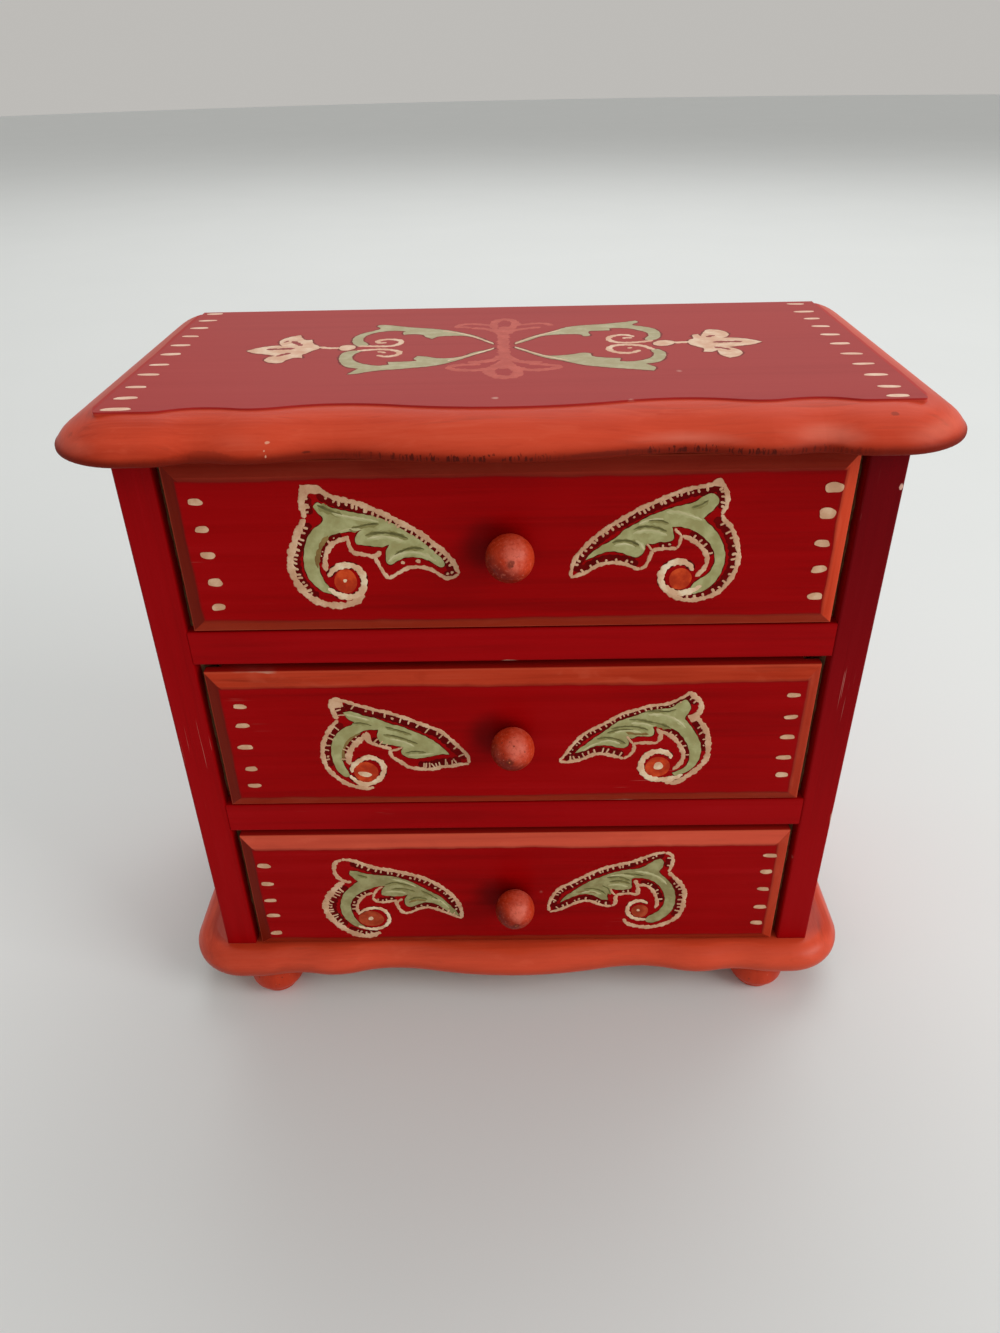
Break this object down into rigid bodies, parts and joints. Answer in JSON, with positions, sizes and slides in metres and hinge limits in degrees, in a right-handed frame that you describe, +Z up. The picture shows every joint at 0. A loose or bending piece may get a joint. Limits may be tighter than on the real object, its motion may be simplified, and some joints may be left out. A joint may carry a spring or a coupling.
{
  "type": "musical jewelry box",
  "caption": "Small painted wooden chest of drawers for jewellery, with a serpentine moulded top and base, bun feet, ball knobs and a wind-up musical movement.",
  "frame": {"origin": "middle of the overall box, on the plane the feet stand on", "axes": "+X to the chest's right as seen from the front, +Y to its back, +Z up; the drawers open towards -Y"},
  "size_m": [0.2292, 0.1384, 0.2084],
  "materials": {
    "painted_red": "satin hand-brushed red paint, worn at the edges",
    "painted_two_tone": "satin red field with orange moulded edge, hand brushed",
    "painted_orange": "satin orange-red paint, hand brushed",
    "bare_wood": "bare pale softwood and plywood",
    "felt": "short-napped felt",
    "screw_steel": "zinc-plated",
    "movement_brass": "satin, lightly tarnished",
    "spring_steel": "ground spring steel",
    "key_metal": "nickel-plated, slightly dulled"
  },
  "bodies": {
    "carcass": {"left_side": "painted_red", "right_side": "painted_red", "lower_shelf": "painted_red", "upper_shelf": "painted_red", "back_panel": "painted_red", "top_board": "painted_two_tone", "base_board": "painted_orange", "foot_front_left": "painted_orange", "foot_back_left": "painted_orange", "foot_front_right": "painted_orange", "foot_back_right": "painted_orange", "back_screws": "screw_steel", "base_screws": "screw_steel", "top_dowels": "bare_wood", "movement_partition": "bare_wood", "movement_bedplate": "movement_brass", "movement_screws": "screw_steel", "comb": "spring_steel", "comb_screws": "screw_steel", "plate_screws": "screw_steel", "cylinder_cock": "movement_brass", "governor_frame": "movement_brass", "lever_bracket": "movement_brass", "lever_screws": "screw_steel", "lever_pin": "spring_steel"},
    "top_drawer": {"top_drawer_front": "painted_two_tone", "top_drawer_left_side": "bare_wood", "top_drawer_right_side": "bare_wood", "top_drawer_back": "bare_wood", "top_drawer_bottom": "bare_wood", "top_drawer_lining": "felt", "top_drawer_knob": "painted_orange"},
    "middle_drawer": {"middle_drawer_front": "painted_two_tone", "middle_drawer_left_side": "bare_wood", "middle_drawer_right_side": "bare_wood", "middle_drawer_back": "bare_wood", "middle_drawer_bottom": "bare_wood", "middle_drawer_lining": "felt", "middle_drawer_knob": "painted_orange"},
    "bottom_drawer": {"bottom_drawer_front": "painted_two_tone", "bottom_drawer_left_side": "bare_wood", "bottom_drawer_right_side": "bare_wood", "bottom_drawer_back": "bare_wood", "bottom_drawer_bottom": "bare_wood", "bottom_drawer_lining": "felt", "bottom_drawer_knob": "painted_orange"},
    "winding": {"winding_arbor": "spring_steel", "winding_key": "key_metal"},
    "barrel": {"spring_barrel": "movement_brass", "barrel_cap": "movement_brass", "mainspring": "spring_steel"},
    "music_cylinder": {"cylinder": "movement_brass", "cylinder_arbor": "spring_steel", "cylinder_wheel": "movement_brass"},
    "governor_wheel_body": {"governor_wheel": "spring_steel"},
    "governor_fly_body": {"governor_fly": "movement_brass"},
    "stop_lever_body": {"stop_lever": "spring_steel"}
  },
  "joints": [
    {"name": "top_drawer_slide", "type": "slide", "parent": "carcass", "child": "top_drawer", "axis": [0, -1, 0], "range_m": [0, 0.05]},
    {"name": "middle_drawer_slide", "type": "slide", "parent": "carcass", "child": "middle_drawer", "axis": [0, -1, 0], "range_m": [0, 0.08]},
    {"name": "bottom_drawer_slide", "type": "slide", "parent": "carcass", "child": "bottom_drawer", "axis": [0, -1, 0], "range_m": [0, 0.08]},
    {"name": "winding_key_turn", "type": "hinge", "parent": "carcass", "child": "winding", "pos_m": [0, 0.04967, 0.172], "axis": [0, -1, 0], "range_deg": [0, 1080]},
    {"name": "cylinder_spin", "type": "hinge", "parent": "carcass", "child": "music_cylinder", "pos_m": [0.026, 0.03367, 0.172], "axis": [1, 0, 0], "continuous": true},
    {"name": "barrel_spin", "type": "hinge", "parent": "carcass", "child": "barrel", "pos_m": [0, 0.03968, 0.172], "axis": [0, 1, 0], "continuous": true},
    {"name": "governor_wheel_spin", "type": "hinge", "parent": "carcass", "child": "governor_wheel_body", "pos_m": [0.041, 0.03753, 0.16409], "axis": [1, 0, 0], "continuous": true},
    {"name": "governor_fly_spin", "type": "hinge", "parent": "carcass", "child": "governor_fly_body", "pos_m": [0.045, 0.03107, 0.16199], "axis": [1, 0, 0], "continuous": true},
    {"name": "stop_lever_swing", "type": "hinge", "parent": "carcass", "child": "stop_lever_body", "pos_m": [0.076, 0.02268, 0.162], "axis": [0, 0, 1], "range_deg": [0, 14.01]}
  ],
  "couplings": [
    {"joint": "barrel_spin", "follows": "cylinder_spin", "ratio": -0.16667},
    {"joint": "governor_wheel_spin", "follows": "cylinder_spin", "ratio": -4},
    {"joint": "governor_fly_spin", "follows": "cylinder_spin", "ratio": 16},
    {"joint": "stop_lever_swing", "follows": "top_drawer_slide", "rad_per_m": 4.885}
  ]
}
